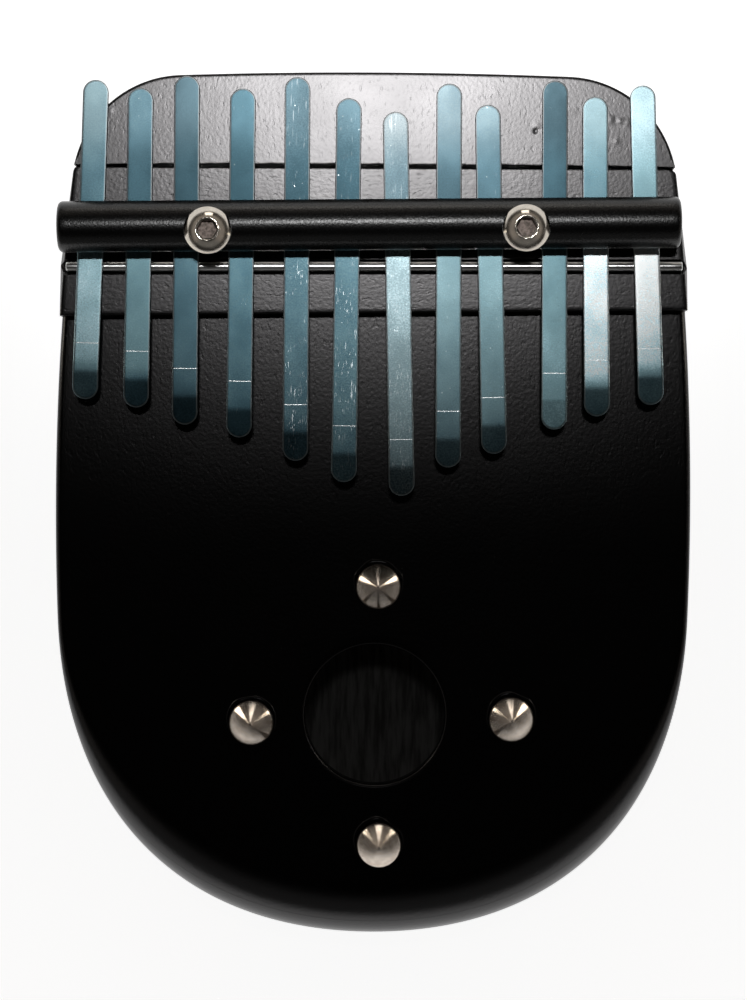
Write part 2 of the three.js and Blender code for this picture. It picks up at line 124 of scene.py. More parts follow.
def rings(inset, height):
    """Rings round the body, one row each: the outline drawn in by an inset and lifted to a height."""
    inset, height = np.broadcast_arrays(inset, height, outline[None, :, 0])[:2]
    plan = outline - outward * inset[..., None]
    return np.concatenate([plan, height[..., None]], axis=2)


def quarter(steps):
    """Sine and cosine columns of a quarter turn, for eased edges."""
    angle = np.linspace(0, np.pi / 2, steps)[:, None]
    return np.sin(angle), np.cos(angle)


def skin(name, grid, close_rows=False, crease=35, **marks):
    """A mesh of a grid of points (row, column, xyz). Neighbours become quads, the last column joins the
    first, and close_rows joins the last row to the first. Points that coincide are merged, so poles and
    seams close, and the sign of the volume turns the faces outwards. Marks are values kept on the points."""
    rows, columns = grid.shape[:2]
    index = np.arange(rows * columns).reshape(rows, columns)
    near = index if close_rows else index[:-1]
    far = np.roll(index, -1, axis=0) if close_rows else index[1:]
    corners = [near, np.roll(near, -1, axis=1), np.roll(far, -1, axis=1), far]
    mesh = bpy.data.meshes.new(name)
    mesh.from_pydata(grid.reshape(-1, 3).tolist(), [], np.stack(corners, axis=-1).reshape(-1, 4).tolist())
    for mark_name, values in marks.items():
        layer = mesh.attributes.new(mark_name, "FLOAT", "POINT")
        spread = np.broadcast_to(values, (rows, columns)).astype(np.float32)
        layer.data.foreach_set("value", spread.ravel())
    shape = bmesh.new()
    shape.from_mesh(mesh)
    bmesh.ops.remove_doubles(shape, verts=shape.verts, dist=weld_distance)
    if shape.calc_volume(signed=True) < 0:
        bmesh.ops.reverse_faces(shape, faces=shape.faces)
    shape.to_mesh(mesh)
    shape.free()
    mesh.shade_smooth()
    mesh.set_sharp_from_angle(angle=np.radians(crease))
    piece = bpy.data.objects.new(name, mesh)
    bpy.context.scene.collection.objects.link(piece)
    return piece


def towards(centre, ring, shares):
    """Rows between a centre and a ring in the ring's own plane, by shares of the way out to the ring."""
    middle = np.concatenate([np.broadcast_to(centre, (len(ring), 2)), ring[:, 2:]], axis=1)
    return middle + (ring - middle) * np.asarray(shares, float)[:, None, None]


def fit(piece, body, slot_name, material, *replaced):
    """Hangs a finished piece on its body, in place of its plain solids, with its material."""
    piece.data.materials.append(material)
    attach(piece, body)
    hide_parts(*replaced)


def put(tree, kind, settings=None, **inputs):
    """Adds a shader node. Settings are the node's own, inputs are values or the sockets that feed them."""
    node = tree.nodes.new("ShaderNode" + kind)
    for key, value in (settings or {}).items():
        setattr(node, key, value)
    for key, value in inputs.items():
        place = int(key[5:]) if key.startswith("input") else key.replace("_", " ")
        if isinstance(value, bpy.types.NodeSocket):
            tree.links.new(value, node.inputs[place])
        else:
            node.inputs[place].default_value = value
    return node


def tree_of(*values):
    """The node tree of the first socket among some values."""
    return next(value.id_data for value in values if isinstance(value, bpy.types.NodeSocket))


def calc(operation, first, second=0.0):
    """Socket of two values joined by a sum, product or comparison."""
    tree = tree_of(first, second)
    return put(tree, "Math", {"operation": operation}, input0=first, input1=second).outputs[0]


def between(value, low, high, start=0.0, end=1.0):
    """Socket that runs smoothly from start to end as the value goes from low to high."""
    settings = {"interpolation_type": "SMOOTHSTEP"}
    limits = {"From_Min": low, "From_Max": high, "To_Min": start, "To_Max": end}
    return put(tree_of(value), "MapRange", settings, Value=value, **limits).outputs["Result"]


def tint(share, first, second):
    """Socket of a colour between two, by a share from 0 to 1."""
    settings = {"data_type": "RGBA"}
    return put(tree_of(share), "Mix", settings, input0=share, input6=first, input7=second).outputs[2]


def cloud(vector, scale, detail=2.0, stretch=(1, 1, 1)):
    """Socket of soft noise, so many waves to the metre, drawn out along an axis by a factor below 1."""
    tree = tree_of(vector)
    drawn = put(tree, "VectorMath", {"operation": "MULTIPLY"}, input0=vector, input1=stretch).outputs[0]
    return put(tree, "TexNoise", Vector=drawn, Scale=scale, Detail=detail).outputs["Fac"]


def mottle(vector, scale, detail=3.0, stretch=(1, 1, 1), start=0.0, end=1.0):
    """Socket of soft noise, spread until it runs from start to end."""
    return between(cloud(vector, scale, detail, stretch), 0.3, 0.7, start, end)


def specks(vector, scale, share, size):
    """Socket that is 1 on specks: the middles of random cells whose own number is below the share."""
    tree = tree_of(vector)
    cells = put(tree, "TexVoronoi", Vector=vector, Scale=scale)
    number = put(tree, "SeparateColor", Color=cells.outputs["Color"]).outputs[0]
    inside = calc("LESS_THAN", cells.outputs["Distance"], size)
    return calc("MULTIPLY", calc("LESS_THAN", number, share), inside)


def mark(tree, name):
    """Socket of a value that the mesh keeps on its points."""
    return put(tree, "Attribute", {"attribute_name": name}).outputs["Fac"]


def bumped(height, distance):
    """Socket of the normal of a surface on which a height stands up by a distance."""
    return put(tree_of(height), "Bump", Height=height, Distance=distance, Strength=1.0).outputs["Normal"]


def start_material(name, **constants):
    """A new material, its tree and its shader's inputs, with constants set on those."""
    material = bpy.data.materials.new(name)
    material.use_nodes = True
    shader = material.node_tree.nodes["Principled BSDF"].inputs
    for socket, value in constants.items():
        shader[socket.replace("_", " ")].default_value = value
    return material, material.node_tree, shader


def feed(inputs, **sockets):
    """Links sockets to a node's inputs of the same names."""
    for name, socket in sockets.items():
        socket.id_data.links.new(socket, inputs[name.replace("_", " ")])


def new_group(name, takes, gives):
    """An empty shader group with named sockets: its tree, its inputs and its outputs."""
    tree = bpy.data.node_groups.new(name, "ShaderNodeTree")
    for socket in takes:
        kind = "NodeSocketVector" if socket == "Vector" else "NodeSocketFloat"
        tree.interface.new_socket(socket, in_out="INPUT", socket_type=kind)
    for socket in gives:
        tree.interface.new_socket(socket, in_out="OUTPUT", socket_type="NodeSocketFloat")
    return tree, tree.nodes.new("NodeGroupInput").outputs, tree.nodes.new("NodeGroupOutput").inputs


def place_group(tree, group, **inputs):
    """Places a shader group in a material and feeds its named inputs."""
    return put(tree, "Group", {"node_tree": group}, **inputs).outputs


def painted_grain_group():
    """Wood under thin paint, its grain along Y: pebbly swells of the paint, long fibre ridges and short open
    pores, each by its own noise."""
    tree, takes, gives = new_group("Painted grain", ["Vector", "Pores", "Fibre"], ["Height", "Pore"])
    vector = takes["Vector"]
    swell = cloud(vector, 1350, 1.5, (1, 0.85, 1))
    fibre = cloud(vector, 900, 2.0, (1, 0.08, 1))
    pore = between(cloud(vector, 1150, 1.0, (1, 0.45, 1)), 0.60, 0.74)
    height = calc("ADD", swell, calc("MULTIPLY", fibre, takes["Fibre"]))
    height = calc("SUBTRACT", height, calc("MULTIPLY", pore, takes["Pores"]))
    feed(gives, Height=height, Pore=pore)
    return tree


def dust_group():
    """Specks of dust, for a share of the random cells and of a size within the cell."""
    tree, takes, gives = new_group("Dust", ["Vector", "Share", "Size"], ["Speck"])
    feed(gives, Speck=specks(takes["Vector"], 240.0, takes["Share"], takes["Size"]))
    return tree


painted_grain = painted_grain_group()
dust = dust_group()
dust_grey = (0.42, 0.41, 0.40, 1)
paint_black = (0.0011, 0.0011, 0.0011, 1)
# A deeper black for the pores: painted shade in the pits
paint_pore_shade = (0.0006, 0.0006, 0.0006, 1)
paint_sheen = (1.0, 0.975, 0.99, 1)
paint_relief = 0.022 * mm
paint_gloss = 0.265
paint_reflection = 0.375
paint_pores, paint_fibre = 0.4, 0.22
wood_pale = (0.62, 0.61, 0.59, 1)
wood_dark = (0.24, 0.23, 0.22, 1)
wood_roughening = 0.5


def black_paint(name, turn=0.0, relief=paint_relief, gloss=paint_gloss, reflection=paint_reflection):
    """Satin black lacquer over wood. Turn sets which way the grain runs, relief how far it stands up. Bare
    wood shows where the mark inside is 1. The pores are a deeper black: painted shade in the pits."""
    material, tree, shader = start_material(name, Specular_IOR_Level=reflection, Specular_Tint=paint_sheen)
    place = put(tree, "TexCoord").outputs["Object"]
    turned = put(tree, "Mapping", Vector=place, Rotation=(0, 0, turn)).outputs[0]
    grain = place_group(tree, painted_grain, Vector=turned, Pores=paint_pores, Fibre=paint_fibre)
    speck = place_group(tree, dust, Vector=place, Share=0.003, Size=0.03)["Speck"]
    inside = mark(tree, "inside")
    wood = tint(mottle(turned, 900, 4.0, (1, 0.12, 1)), wood_dark, wood_pale)
    # Pores darker than the paint around them: painted shade
    colour = tint(grain["Pore"], paint_black, paint_pore_shade)
    colour = tint(speck, colour, dust_grey)
    rough = mottle(place, 60, start=gloss - 0.006, end=gloss + 0.008)
    dull = calc("MULTIPLY", calc("MAXIMUM", speck, inside), wood_roughening)
    feed(shader, Base_Color=tint(inside, colour, wood), Roughness=calc("ADD", rough, dull),
         Normal=bumped(grain["Height"], relief))
    return material


body_middle = np.array([0.0, 0.0])
open_shares = np.linspace(0, 1, back_face_rows)
rise, fall = quarter(edge_rows)
upper_face = towards(body_middle, rings([glue_line_ease], [back_high.z])[0], open_shares)
wall_down = rings([[0.0], [0.0]], [[back_high.z - glue_line_ease], [back_edge_radius]])
lower_ease = rings(back_edge_radius * (1 - fall[1:]), back_edge_radius * (1 - rise[1:]))
lower_face = towards(body_middle, lower_ease[-1], open_shares[-2::-1])
back_grid = np.concatenate([upper_face, wall_down, lower_ease, lower_face])
bare_rows = np.arange(len(back_grid)) < len(upper_face)
back_panel = skin("back_panel", back_grid, inside=bare_rows[:, None])
fit(back_panel, "body", "body_paint", black_paint("black_paint_back"), "back_board")


# Side frame
# The ring of wood between the two boards, cut out for the sound chamber and left solid under the head.
# Sanded flush with both boards after glueing, so the round of the front end runs down into it.

frame_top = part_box("side_frame")[1].z
board_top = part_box("soundboard")[1].z
block_front_yaw = np.radians(0.74)
block_front_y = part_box("bridge_block")[0].y + half_width * np.tan(block_front_yaw)
head_edge_radius = 0.6 * mm
side_edge_radius, front_edge_radius = 1.5 * mm, 13 * mm
side_edge_power, front_edge_power = 2, 1.7
edge_run_out = 5 * mm
frame_edge_rows = 12
wall_thickness = 10 * mm
cavity_rear_y = rear_y - 61 * mm
cavity_corner = 9 * mm
cavity_corner_points = 8

# A row this share of the edge away from the glue line makes both layers shade alike there
beside_glue = 0.01


def ease(value, low, high):
    """Smooth step from 0 to 1 between two limits."""
    t = np.clip((value - low) / (high - low), 0, 1)
    return t * t * (3 - 2 * t)


to_front = ease(round_end_y - outline[:, 1], 0, round_end_y - front_y)
to_head = ease(outline[:, 1], block_front_y, block_front_y + edge_run_out)
upper_radius = side_edge_radius + (front_edge_radius - side_edge_radius) * to_front
upper_radius = upper_radius + (head_edge_radius - upper_radius) * to_head
edge_power = side_edge_power + (front_edge_power - side_edge_power) * to_front


def upper_inset(height):
    """How far the rounded upper edge has drawn in from the outline at a height: a quarter circle along the
    sides, flattened towards a slope round the front end by a lower power."""
    over = np.clip((height - (board_top - upper_radius)) / upper_radius, 0, 1)
    return upper_radius * (1 - (1 - over**edge_power) ** (1 / edge_power))


def evenly(line, count, values):
    """Columns of values along a line of points, read at evenly spaced places on it."""
    length = np.concatenate([[0], np.cumsum(np.linalg.norm(np.diff(line, axis=0), axis=1))])
    spread = np.linspace(0, length[-1], count)
    return np.stack([np.interp(spread, length, column) for column in values.T], axis=1)


def cavity_loop():
    """The chamber's wall, point for point beside the outline: the outline drawn in by the wall's thickness,
    then two rounded corners and a straight line in front of the solid head."""
    inner = outline - outward * wall_thickness
    beside = outline[:, 1] < cavity_rear_y - cavity_corner
    corner = inner[beside & (outline[:, 0] > 0)][-1]
    turn = np.linspace(0, np.pi / 2, cavity_corner_points)
    x = corner[0] - cavity_corner * (1 - np.cos(turn))
    y = cavity_rear_y - cavity_corner * (1 - np.sin(turn))
    line = np.concatenate([np.stack([x, y], 1), np.stack([-x, y], 1)[::-1]])
    inner[~beside] = evenly(line, np.count_nonzero(~beside), line)
    return inner


chamber = cavity_loop()
climb = np.insert(np.linspace(0, 1, frame_edge_rows), -1, 1 - beside_glue)[:, None]
edge_start = np.minimum(board_top - upper_radius, frame_top - 2 * glue_line_ease)
edge_height = edge_start + (frame_top - glue_line_ease - edge_start) * climb
foot = rings([[glue_line_ease], [0.0]], [[back_high.z], [back_high.z + glue_line_ease]])
shoulder_rows = rings(upper_inset(edge_height), edge_height)
top_row = rings([upper_inset(frame_top) + glue_line_ease], [frame_top])
inner_top = np.concatenate([chamber, np.full((len(chamber), 1), frame_top)], axis=1)[None]
inner_foot = inner_top + np.array([0, 0, back_high.z - frame_top])
frame_grid = np.concatenate([foot, shoulder_rows, top_row, inner_top, inner_foot])
bare_rows = np.arange(len(frame_grid)) >= len(frame_grid) - 2
frame_ring = skin("frame_ring", frame_grid, close_rows=True, inside=bare_rows[:, None])
fit(frame_ring, "body", "body_paint", black_paint("black_paint_sides"), "side_frame")


# Soundboard
# The front board, with a sawn and eased sound hole and a large soft round at its front end.
# Wood with the grain along the body, filled thinly, so that pores and fibres print through the satin black.

hole_centre = np.array([0.6 * mm, front_y + 51.8 * mm])
hole_radius = 16 * mm
hole_ease = 0.8 * mm
board_edge_rows = 14
board_face_rows = 72

past_start = np.clip(frame_top + glue_line_ease - (board_top - upper_radius), 0, None)
low_turn = np.arcsin(past_start / upper_radius)
round_shares = np.insert(np.linspace(0, 1, board_edge_rows), 1, beside_glue)[:, None]
round_height = board_top - upper_radius * (1 - np.sin(low_turn + (np.pi / 2 - low_turn) * round_shares))
board_foot = rings([upper_inset(frame_top) + glue_line_ease], [frame_top])
board_wall = rings([upper_inset(frame_top + glue_line_ease)], [frame_top + glue_line_ease])
board_round = rings(upper_inset(round_height), round_height)
board_edge = board_round[-1]
from_hole = board_edge[:, :2] - hole_centre
from_hole /= np.linalg.norm(from_hole, axis=1, keepdims=True)


def hole_rows(radius, height):
    """Rings of the sound hole at given radii and heights, point for point beside the outline."""
    plan = hole_centre + from_hole * np.asarray(radius)[:, :, None]
    tall = np.broadcast_to(np.asarray(height)[:, :, None], plan.shape[:2] + (1,))
    return np.concatenate([plan, tall], axis=2)


rise, fall = quarter(edge_rows)
rim = hole_rows(hole_radius + hole_ease * (1 - rise), board_top - hole_ease * (1 - fall))
hole_foot = hole_rows([[hole_radius]], [[frame_top]])
across = np.linspace(0, 1, board_face_rows)[1:-1, None, None]
board_face = board_edge + (rim[0] - board_edge) * across
board_grid = np.concatenate([board_foot, board_wall, board_round, board_face, rim, hole_foot])
front_board = skin("front_board", board_grid, close_rows=True)
fit(front_board, "body", "body_paint", black_paint("black_paint_front", relief=0.024 * mm), "soundboard")


# Head strip
# A strip of board across the head behind a narrow seam, on which the tails of the tines lie.
# Its grain runs along the body, so the sawn edge at the seam is rough; filler stands up in a few places.

bridge_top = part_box("head_strip")[1].z
strip_front_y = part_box("head_strip")[0].y
strip_stations = 640
strip_face_rows = 66
arris_rows = 6
strip_arris = 0.14 * mm
corner_fade = 1.6 * mm
seam_taper = 0.42 * mm
seam_taper_power, seam_wave_power = 3, 8
saw_depth = 0.05 * mm

# Share of the saw's depth, turn per millimetre and first turn of each wave in the sawn edge
saw_waves = [(1.0, 0.5, 0.0), (0.7, 1.3, 1.0), (0.4, 2.3, 0.0)]

# Place across and along the body, height and width of each bump of filler or pit, in millimetres
filler_spots = [
    (53.6, 88.6, 0.05, 0.9), (55.9, 88.3, 0.05, 0.7), (57.5, 87.9, 0.045, 0.9), (55.0, 83.6, 0.03, 0.7),
    (36.6, 85.9, -0.10, 0.45), (36.9, 87.3, 0.025, 0.7), (46.6, 90.4, -0.02, 0.8), (27.4, 94.6, 0.015, 0.9),
    (-60.2, 90.0, 0.03, 0.6), (-52.0, 92.5, 0.02, 0.9),
]


def head_path(count):
    """The outline of the head from the right end of the seam round the rear to its left end, evenly spaced,
    and the outward directions there."""
    keep = outline[:, 1] > strip_front_y
    right = outline[:, 0] > 0
    corner_x = np.interp(strip_front_y, outline[right, 1], outline[right, 0])
    corner = np.array([[corner_x, strip_front_y]])
    path = np.concatenate([corner, outline[keep], corner * np.array([-1, 1])])
    facing = np.concatenate([outward[keep][:1], outward[keep], outward[keep][-1:]])
    return evenly(path, count, path), evenly(path, count, facing)


def raised_spots(plan):
    """Height of the bumps and pits: each a bell curve of its own height and width about its place."""
    total = np.zeros(plan.shape[:-1])
    for x, y, height, width in filler_spots:
        away = (plan[..., 0] - x * mm) ** 2 + (plan[..., 1] - y * mm) ** 2
        total += height * mm * np.exp(-away / (width * mm) ** 2)
    return total


path, facing = head_path(strip_stations)
to_end = np.abs(path[:, 0]) / path[:, 0].max()
wave = sum(share * np.sin(path[:, 0] / mm * turn + start) for share, turn, start in saw_waves)
saw_cut = saw_depth * wave * (1 - to_end**seam_wave_power)
seam_y = strip_front_y - seam_taper * to_end**seam_taper_power + saw_cut
seam = np.stack([path[:, 0], seam_y], axis=1)
depth = np.clip((path[:, 1] - strip_front_y) / corner_fade, 0, 1)[:, None]
rise, fall = quarter(arris_rows)
rear_rows = path - facing * (head_edge_radius * (1 - fall[:, :, None])) * depth
front_rows = seam + np.array([0, 1]) * (strip_arris * (1 - fall[::-1, :, None])) * depth
steps = np.linspace(0, 1, strip_face_rows)[1:-1, None, None]
face_rows = rear_rows[-1] + (front_rows[0] - rear_rows[-1]) * steps
plan = np.concatenate([path[None], rear_rows, face_rows, front_rows, seam[None]])
tall = np.concatenate([
    [[board_top]], bridge_top - head_edge_radius * (1 - rise), np.full((len(face_rows), 1), bridge_top),
    bridge_top - strip_arris * (1 - rise[::-1]), [[board_top]],
])
tall = np.broadcast_to(tall, plan.shape[:2]).copy()
tall[arris_rows:-arris_rows] += raised_spots(plan[arris_rows:-arris_rows]) * depth[:, 0]
strip_grid = np.concatenate([plan, tall[..., None]], axis=2).transpose(1, 0, 2)
strip_board = skin("strip_board", strip_grid)
strip_paint = black_paint("black_paint_strip", relief=0.016 * mm, reflection=0.45)
fit(strip_board, "body", "body_paint", strip_paint, "head_strip")


# Bridge block
# The block across the body under the bar and the rod, with a round groove for the rod ploughed along it.
# Its grain runs across the body; the front face is planed a little out of square, as on the real one.

block_rear_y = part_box("bridge_block")[1].y
block_front_arris = 0.4 * mm
block_rear_arris = 0.14 * mm
block_stations = 181
ahead_columns, groove_columns, behind_columns = 14, 13, 48
rear_corner_radius = 1.2 * mm
left_corner_share = 0.3
rod_low, rod_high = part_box("bridge_rod")
rod_yaw = np.radians(0.27)
rod_middle = (rod_low + rod_high) / 2
rod_radius = (rod_high.z - rod_low.z) / 2
groove_radius = rod_radius + 0.08 * mm


def stacked(pairs, like, axis):
    """Two grids, put together from pairs of parts that are each spread out to the shape of another array."""
    spread = [np.broadcast_arrays(first, second, like)[:2] for first, second in pairs]
    return [np.concatenate(parts, axis=axis) for parts in zip(*spread)]


right_side = outline[outline[:, 0] > half_width / 2]
right_side = right_side[np.argsort(right_side[:, 1])]
rise, fall = quarter(arris_rows)
end_in = head_edge_radius * (1 - fall[:, 0])
end_drop = head_edge_radius * (1 - rise[:, 0])
middle_share = np.linspace(-1, 1, block_stations)[1:-1]
share = np.concatenate([np.full(arris_rows, -1.0), middle_share, np.full(arris_rows, 1.0)])[:, None]
drawn_in = np.concatenate([end_in, np.full(len(middle_share), end_in[-1]), end_in[::-1]])[:, None]
dropped = np.concatenate([end_drop, np.zeros(len(middle_share)), end_drop[::-1]])[:, None]
front_line = block_front_y + share * half_width * np.tan(block_front_yaw)
groove_line = rod_middle.y + share * half_width * np.tan(rod_yaw)
half_arc = np.arccos(np.abs(rod_middle.z - bridge_top) / groove_radius)
sweep = np.linspace(-half_arc, half_arc, groove_columns)[None]
front_y_columns = front_line + block_front_arris * (1 - fall.T)
groove_y = groove_line + groove_radius * np.sin(sweep)
ahead = np.linspace(0, 1, ahead_columns)[None, 1:-1]
behind = np.linspace(0, 1, behind_columns)[None, 1:-1]
rear_start = block_rear_y - block_rear_arris
block_y, block_z = stacked([
    (front_line, board_top),
    (front_y_columns, bridge_top - block_front_arris * (1 - rise.T)),
    (front_y_columns[:, -1:] + (groove_y[:, :1] - front_y_columns[:, -1:]) * ahead, bridge_top),
    (groove_y, rod_middle.z - groove_radius * np.cos(sweep)),
    (groove_y[:, -1:] + (rear_start - groove_y[:, -1:]) * behind, bridge_top),
    (block_rear_y - block_rear_arris * (1 - fall.T[:, ::-1]),
     bridge_top - block_rear_arris * (1 - rise.T[:, ::-1])),
    (block_rear_y, board_top),
], share, axis=1)
block_z = np.minimum(block_z, bridge_top - dropped)
to_corner = np.clip(block_y - (block_rear_y - rear_corner_radius), 0, rear_corner_radius)
rounded = rear_corner_radius - np.sqrt(rear_corner_radius**2 - to_corner**2)
reach = np.interp(block_y, right_side[:, 1], right_side[:, 0])
reach = reach - np.where(share > 0, rounded, left_corner_share * rounded)
block_grid = np.stack([share * (reach - drawn_in), block_y, block_z], axis=2)
heart = rod_middle.y, (board_top + bridge_top) / 2
caps = [np.broadcast_to([x, *heart], (1,) + block_grid.shape[1:]) for x in block_grid[[0, -1], 0, 0]]
cross_block = skin("cross_block", np.concatenate([caps[0], block_grid, caps[1]]))
block_paint = black_paint("black_paint_block", turn=np.pi / 2, relief=0.022 * mm, reflection=0.41)
fit(cross_block, "body", "body_paint", block_paint, "bridge_block")


# Bridge rod
# A bright drawn steel rod let into the block's groove, which the tines cross and ring from.
# Chrome plated, with fine drawing lines along it, cut square and lightly broken at the ends.

rod_end_ease = 0.3 * mm
rod_sides, rod_stations = 40, 60
metal_tone = 0.06
metal_relief = 0.0006 * mm


def metal(name, colour, rough, scale=400.0, stretch=(1, 1, 1)):
    """A bare or plated metal whose colour and gloss drift over it, with faint, finer working marks."""
    material, tree, shader = start_material(name, Metallic=1.0)
    place = put(tree, "TexCoord").outputs["Object"]
    drift = cloud(place, scale, 3.0, stretch)
    dark = tuple(c * (1 - 2 * metal_tone) for c in colour) + (1,)
    light = tuple(min(1.0, c * (1 + metal_tone)) for c in colour) + (1,)
    lines = cloud(place, scale * 6, 1.0, stretch)
    feed(shader, Base_Color=tint(between(drift, 0.3, 0.7), dark, light),
         Roughness=between(drift, 0.25, 0.75, rough * 0.8, rough * 1.3),
         Normal=bumped(lines, metal_relief))
    return material


def full_turn(count):
    """Evenly spaced bearings once round."""
    return np.linspace(0, 2 * np.pi, count, endpoint=False)


def yawed(middle, yaw, x, y, z):
    """Points given about the middle of a bar along X, turned about Z by the bar's yaw."""
    return np.stack([middle[0] + x * np.cos(yaw) - y * np.sin(yaw),
                     middle[1] + x * np.sin(yaw) + y * np.cos(yaw), middle[2] + z], axis=2)


def rod_grid():
    """Rings of a circle along the rod, with rounded end corners and closed ends."""
    rise, fall = quarter(arris_rows)
    half = (rod_high.x - rod_low.x) / 2
    end_x = np.concatenate([[half], half - rod_end_ease * (1 - rise[::-1, 0])])
    end_r = np.concatenate([[0.0], rod_radius - rod_end_ease * (1 - fall[::-1, 0])])
    inner = np.linspace(-1, 1, rod_stations)[1:-1] * (half - rod_end_ease)
    x = np.concatenate([-end_x, inner, end_x[::-1]])[:, None]
    r = np.concatenate([end_r, np.full(len(inner), rod_radius), end_r[::-1]])[:, None]
    turn = full_turn(rod_sides)
    return yawed(rod_middle, rod_yaw, x, r * np.sin(turn), r * np.cos(turn))


bright_rod = skin("bright_rod", rod_grid())
chrome = metal("drawn_chrome", (0.80, 0.80, 0.79), 0.27, stretch=(0.05, 1, 1))
fit(bright_rod, "body", "rod_chrome", chrome, "bridge_rod")


# Threaded inserts
# Two brass sleeves sunk in the solid head, which take the bar screws and can't be seen once assembled.
# Turned from brass rod and driven into the wood, so the plain solids do, with a brass of their own.

brass = metal("machined_brass", (0.55, 0.40, 0.14), 0.35)
for side in ("left", "right"):
    for slot in frame["nodes"][f"threaded_insert_{side}"].material_slots:
        slot.material = brass


# Tines
# Twelve tongues of spring steel with round ends, swept up over the rod and bent down at the tip.
# Punched from blued strip, so the edges are bare and rolled; a scribed line marks each near its tip.

tine_width = 5.8 * mm
tine_thickness = 1.0 * mm
tine_rise = 0.8 * mm
tine_seat = 0.3 * mm
sweep_length = 24 * mm
tine_slope = 2 * tine_rise / sweep_length
tip_length = 7.1 * mm
tip_bend_radius = 8 * mm
tip_bend_angle = np.radians(10)
slack_bend_angle = {"tine_10": np.radians(5.5)}
worn_edge = 0.4 * mm
worn_edge_tilt = np.radians(12)
worn_edge_share = 0.45
rolled_edge = 0.14 * mm
rolled_edge_share = 0.2
burr_edge = 0.08 * mm
scribe_from_tip = 12.7 * mm
scribe_half_width = 0.12 * mm
scribe_depth = 0.01 * mm
tine_stations, scribe_stations, bend_stations, end_stations = 90, 9, 12, 26
flat_rows, worn_rows, rolled_rows, under_rows = 8, 6, 5, 3
bend_span = np.array([-0.5, 2.0]) * mm

# From left to right, how deep the blue film is at each tine's tail, behind and under the bar (deepened there
# as painted shade near the bar) and in front of the rod, how much it deepens along the front, how deep it is
# at the tip, and how scratched and greyed the tine is
blueing = [
    (0.51, 0.73, 0.24, 0.00, 0.60, 0.25, 0.30), (0.63, 0.93, 0.44, -0.06, 0.79, 0.30, 0.15),
    (0.81, 1.00, 0.68, 0.00, 0.92, 0.15, 0.25), (0.79, 0.97, 0.59, 0.03, 0.84, 0.35, 0.06),
    (0.84, 1.00, 0.62, 0.02, 0.84, 0.85, 0.27), (0.72, 1.00, 0.61, -0.04, 0.62, 0.80, 0.24),
    (0.56, 0.79, 0.25, 0.14, 0.60, 0.95, 0.69), (0.66, 0.85, 0.40, 0.12, 0.62, 0.45, 0.45),
    (0.61, 0.82, 0.36, 0.09, 0.62, 0.45, 0.40), (0.90, 0.90, 0.50, -0.15, 0.30, 0.20, 0.20),
    (0.38, 0.60, 0.00, 0.10, 0.55, 0.25, 0.30), (0.24, 0.40, 0.00, 0.10, 0.58, 0.20, 0.30),
]

# Where the film changes, in millimetres ahead of the rod, and at the tip ahead of the bend
# Between the first of these limits and the front the film is deepened as painted shade near the bar
film_tail_ends, film_bar_shade_starts = -38.0, -18.0
film_bar_shade_ends, film_front_starts = -10.0, -3.0
film_front_ends = 20.0
film_tip_before, film_tip_after = -3.0, 2.5
haze_full, haze_ends = -34.0, -20.0
front_greying = 0.7

# Colours of the film by its depth, from bare steel over pale grey and teal to deep blue
film_colours = [
    (0.0, (0.90, 0.94, 0.94, 1)), (0.1, (0.54, 0.74, 0.80, 1)), (0.2, (0.35, 0.55, 0.61, 1)),
    (0.35, (0.18, 0.31, 0.345, 1)), (0.7, (0.060, 0.122, 0.152, 1)), (1.0, (0.021, 0.045, 0.057, 1)),
]
bare_steel = (0.84, 0.87, 0.87, 1)
film_drift, film_rub, film_grit, film_scuff = 0.3, 0.08, 0.4, 0.5
tail_scratches, front_scratches, nick_brightness = 0.12, 0.45, 0.35
steel_gloss, steel_dull, bare_polish = 0.37, 0.46, 0.14
steel_relief = 0.0025 * mm


def tine_underside(distance):
    """Height of a tine above the block at a distance in front of the rod: flat at the tail, a parabola that
    climbs to the rod, then a straight slope."""
    swept = np.clip(distance, -sweep_length, 0) + sweep_length
    return tine_seat + tine_rise * (swept / sweep_length) ** 2 + tine_slope * np.maximum(0, distance)


def tip_drop(past_bend, angle):
    """How far the bent tip falls below the straight tine: a short arc, then a straight line."""
    bend = tip_bend_radius * angle
    bent = np.clip(past_bend, 0, bend)
    return bent**2 / (2 * tip_bend_radius) + angle * np.maximum(0, past_bend - bend)


